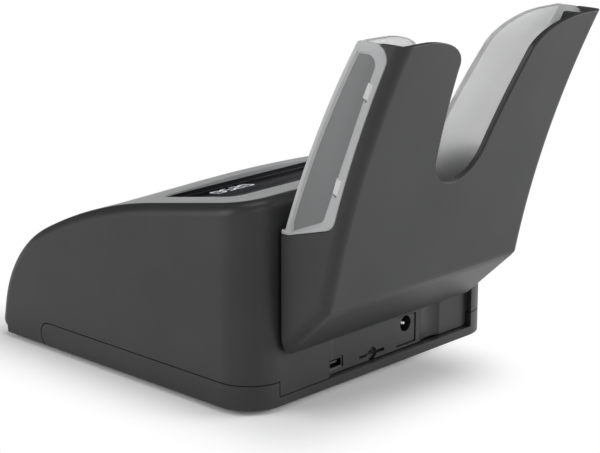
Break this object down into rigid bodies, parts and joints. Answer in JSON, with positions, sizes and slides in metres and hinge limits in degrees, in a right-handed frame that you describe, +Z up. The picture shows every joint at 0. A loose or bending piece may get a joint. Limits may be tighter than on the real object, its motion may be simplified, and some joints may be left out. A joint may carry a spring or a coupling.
{
  "type": "countertop cash scale",
  "caption": "Countertop cash-counting scale: wedge-shaped body with a sloping display and keys, and a notched note tray leaning back on a load cell behind it.",
  "frame": {"origin": "middle of the overall box, on the plane of the feet", "axes": "+Z up, +Y towards the tray behind the body, the keys face -Y"},
  "size_m": [0.143, 0.2046, 0.143],
  "materials": {
    "housing_plastic": "fine moulded texture",
    "frosted_plastic": "frosted, slightly translucent",
    "silver_frame": "satin silver lacquer",
    "black_plastic": "satin",
    "black_glass": "polished",
    "lcd": "polished",
    "circuit_board": "solder mask",
    "key_rubber": "matt",
    "steel": "plated",
    "aluminium": "milled",
    "gauge_foil": "plain",
    "ribbon": "plain",
    "cable": "matt",
    "battery_sleeve": "shrink film",
    "foot_rubber": "matt"
  },
  "bodies": {
    "base": {"top_housing": "housing_plastic", "bottom_shell": "housing_plastic", "bezel_frame": "silver_frame", "control_panel": "black_plastic", "display_window": "black_glass", "lcd_module": "lcd", "display_board": "circuit_board", "key_board": "circuit_board", "key_dome_sheet": "key_rubber", "panel_screws": "steel", "main_board": "circuit_board", "board_screws": "steel", "board_chips": "black_plastic", "buzzer": "black_plastic", "data_socket": "steel", "card_socket": "steel", "power_inlet": "black_plastic", "power_inlet_pin": "steel", "display_ribbon": "ribbon", "key_ribbon": "ribbon", "load_cell": "aluminium", "strain_gauges": "gauge_foil", "cell_mount": "aluminium", "cell_mount_screws": "steel", "cell_cable": "cable", "overload_stop": "steel", "battery_pack": "battery_sleeve", "battery_contacts": "gauge_foil", "housing_screws": "steel", "rubber_feet": "foot_rubber"},
    "carrier": {"tray_carrier": "aluminium", "carrier_screws": "steel"},
    "tray": {"tray_back": "housing_plastic", "tray_front": "frosted_plastic"},
    "battery_door": {"battery_door": "housing_plastic"},
    "power_key": {"power_key": "key_rubber"},
    "menu_key": {"menu_key": "key_rubber"},
    "up_key": {"up_key": "key_rubber"},
    "down_key": {"down_key": "key_rubber"},
    "ok_key": {"ok_key": "key_rubber"},
    "clear_key": {"clear_key": "key_rubber"}
  },
  "joints": [
    {"name": "tray_sink", "type": "slide", "parent": "base", "child": "carrier", "axis": [0, 0, -1], "range_m": [0, 0.0006], "stiffness_N_per_m": 33000, "springref_m": -0.00004, "deforming": ["load_cell"]},
    {"name": "tray_lift_off", "type": "slide", "parent": "carrier", "child": "tray", "axis": [0, 0.729, 0.6845], "range_m": [0, 0.04]},
    {"name": "battery_door_swing", "type": "hinge", "parent": "base", "child": "battery_door", "pos_m": [-0.038, -0.07913, 0.002], "axis": [-1, 0, 0], "range_deg": [0, 60]},
    {"name": "power_key_press", "type": "slide", "parent": "base", "child": "power_key", "axis": [0, 0.4305, -0.9026], "range_m": [0, 0.0008], "stiffness_N_per_m": 1500, "springref_m": -0.0002},
    {"name": "menu_key_press", "type": "slide", "parent": "base", "child": "menu_key", "axis": [0, 0.4305, -0.9026], "range_m": [0, 0.0008], "stiffness_N_per_m": 1500, "springref_m": -0.0002},
    {"name": "up_key_press", "type": "slide", "parent": "base", "child": "up_key", "axis": [0, 0.4305, -0.9026], "range_m": [0, 0.0008], "stiffness_N_per_m": 1500, "springref_m": -0.0002},
    {"name": "down_key_press", "type": "slide", "parent": "base", "child": "down_key", "axis": [0, 0.4305, -0.9026], "range_m": [0, 0.0008], "stiffness_N_per_m": 1500, "springref_m": -0.0002},
    {"name": "ok_key_press", "type": "slide", "parent": "base", "child": "ok_key", "axis": [0, 0.4305, -0.9026], "range_m": [0, 0.0008], "stiffness_N_per_m": 1500, "springref_m": -0.0002},
    {"name": "clear_key_press", "type": "slide", "parent": "base", "child": "clear_key", "axis": [0, 0.4305, -0.9026], "range_m": [0, 0.0008], "stiffness_N_per_m": 1500, "springref_m": -0.0002}
  ]
}
